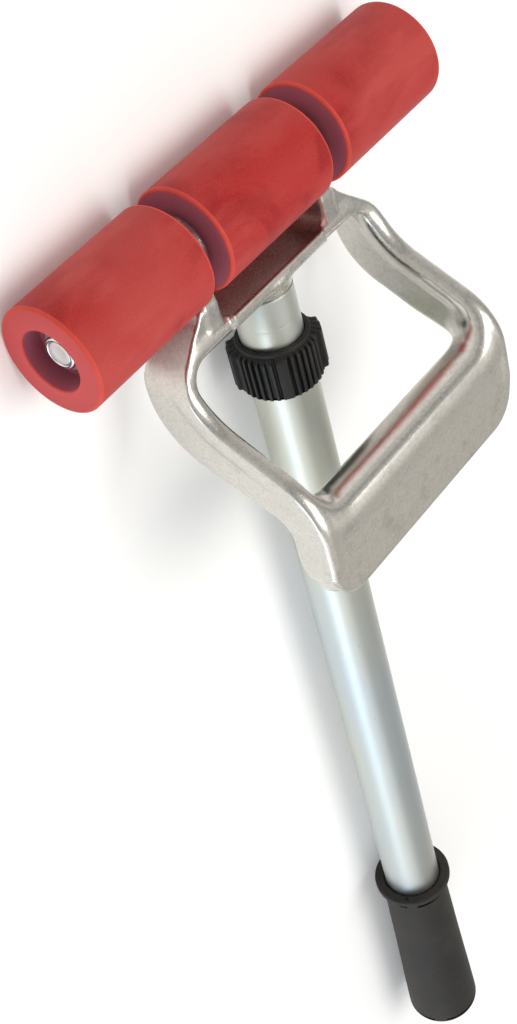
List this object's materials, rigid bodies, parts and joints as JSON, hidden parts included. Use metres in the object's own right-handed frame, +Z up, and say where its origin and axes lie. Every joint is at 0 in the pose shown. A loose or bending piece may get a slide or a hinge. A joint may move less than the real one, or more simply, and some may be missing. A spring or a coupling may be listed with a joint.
{
  "type": "extendable floor roller",
  "caption": "Hand floor roller with rubber rollers in a cast head, a raised stirrup handle and a telescopic tube with a twist lock and grip.",
  "frame": {"origin": "on the floor directly under the middle of the axle, with the rollers standing on that floor", "axes": "+Y from the rollers along the tube to the grip, +X along the axle, +Z up, the side the stirrup handle stands on"},
  "size_m": [0.21, 0.5622, 0.0867],
  "materials": {
    "cast_aluminium": "satin cast aluminium, lightly polished on the rim",
    "red_rubber": "matte moulded polyurethane rubber",
    "nylon": "moulded nylon",
    "bright_steel": "bright drawn steel",
    "zinc_washer": "zinc plated",
    "spring_steel": "bright plated spring steel",
    "zinc_tube": "clear zinc plated tube",
    "black_plastic": "moulded nylon, satin",
    "collet_plastic": "moulded acetal",
    "grip_plastic": "grained moulded grip"
  },
  "bodies": {
    "head": {"head_casting": "cast_aluminium", "axle": "bright_steel", "thrust_washer_left_outer": "zinc_washer", "thrust_washer_left_inner": "zinc_washer", "thrust_washer_right_inner": "zinc_washer", "thrust_washer_right_outer": "zinc_washer", "end_washer_left": "zinc_washer", "end_washer_right": "zinc_washer", "retaining_ring_left": "spring_steel", "retaining_ring_right": "spring_steel", "inner_tube": "zinc_tube", "tube_guide": "nylon"},
    "left_roller": {"roller_left": "red_rubber", "bush_left_outer": "nylon", "bush_left_inner": "nylon"},
    "centre_roller": {"roller_centre": "red_rubber", "bush_centre_left": "nylon", "bush_centre_right": "nylon"},
    "right_roller": {"roller_right": "red_rubber", "bush_right_inner": "nylon", "bush_right_outer": "nylon"},
    "handle": {"outer_tube": "zinc_tube", "lock_sleeve": "collet_plastic", "grip": "grip_plastic"},
    "lock_nut": {"lock_collar": "black_plastic"}
  },
  "joints": [
    {"name": "left_roller_spin", "type": "hinge", "parent": "head", "child": "left_roller", "pos_m": [0, 0, 0.02223], "axis": [1, 0, 0], "continuous": true},
    {"name": "centre_roller_spin", "type": "hinge", "parent": "head", "child": "centre_roller", "pos_m": [0, 0, 0.02223], "axis": [1, 0, 0], "continuous": true},
    {"name": "right_roller_spin", "type": "hinge", "parent": "head", "child": "right_roller", "pos_m": [0, 0, 0.02223], "axis": [1, 0, 0], "continuous": true},
    {"name": "handle_extension", "type": "slide", "parent": "head", "child": "handle", "axis": [0, 1, 0], "range_m": [0, 0.3]},
    {"name": "lock_collar_turn", "type": "hinge", "parent": "handle", "child": "lock_nut", "pos_m": [0, 0.075, 0.02223], "axis": [0, 1, 0], "range_deg": [0, 90]}
  ]
}
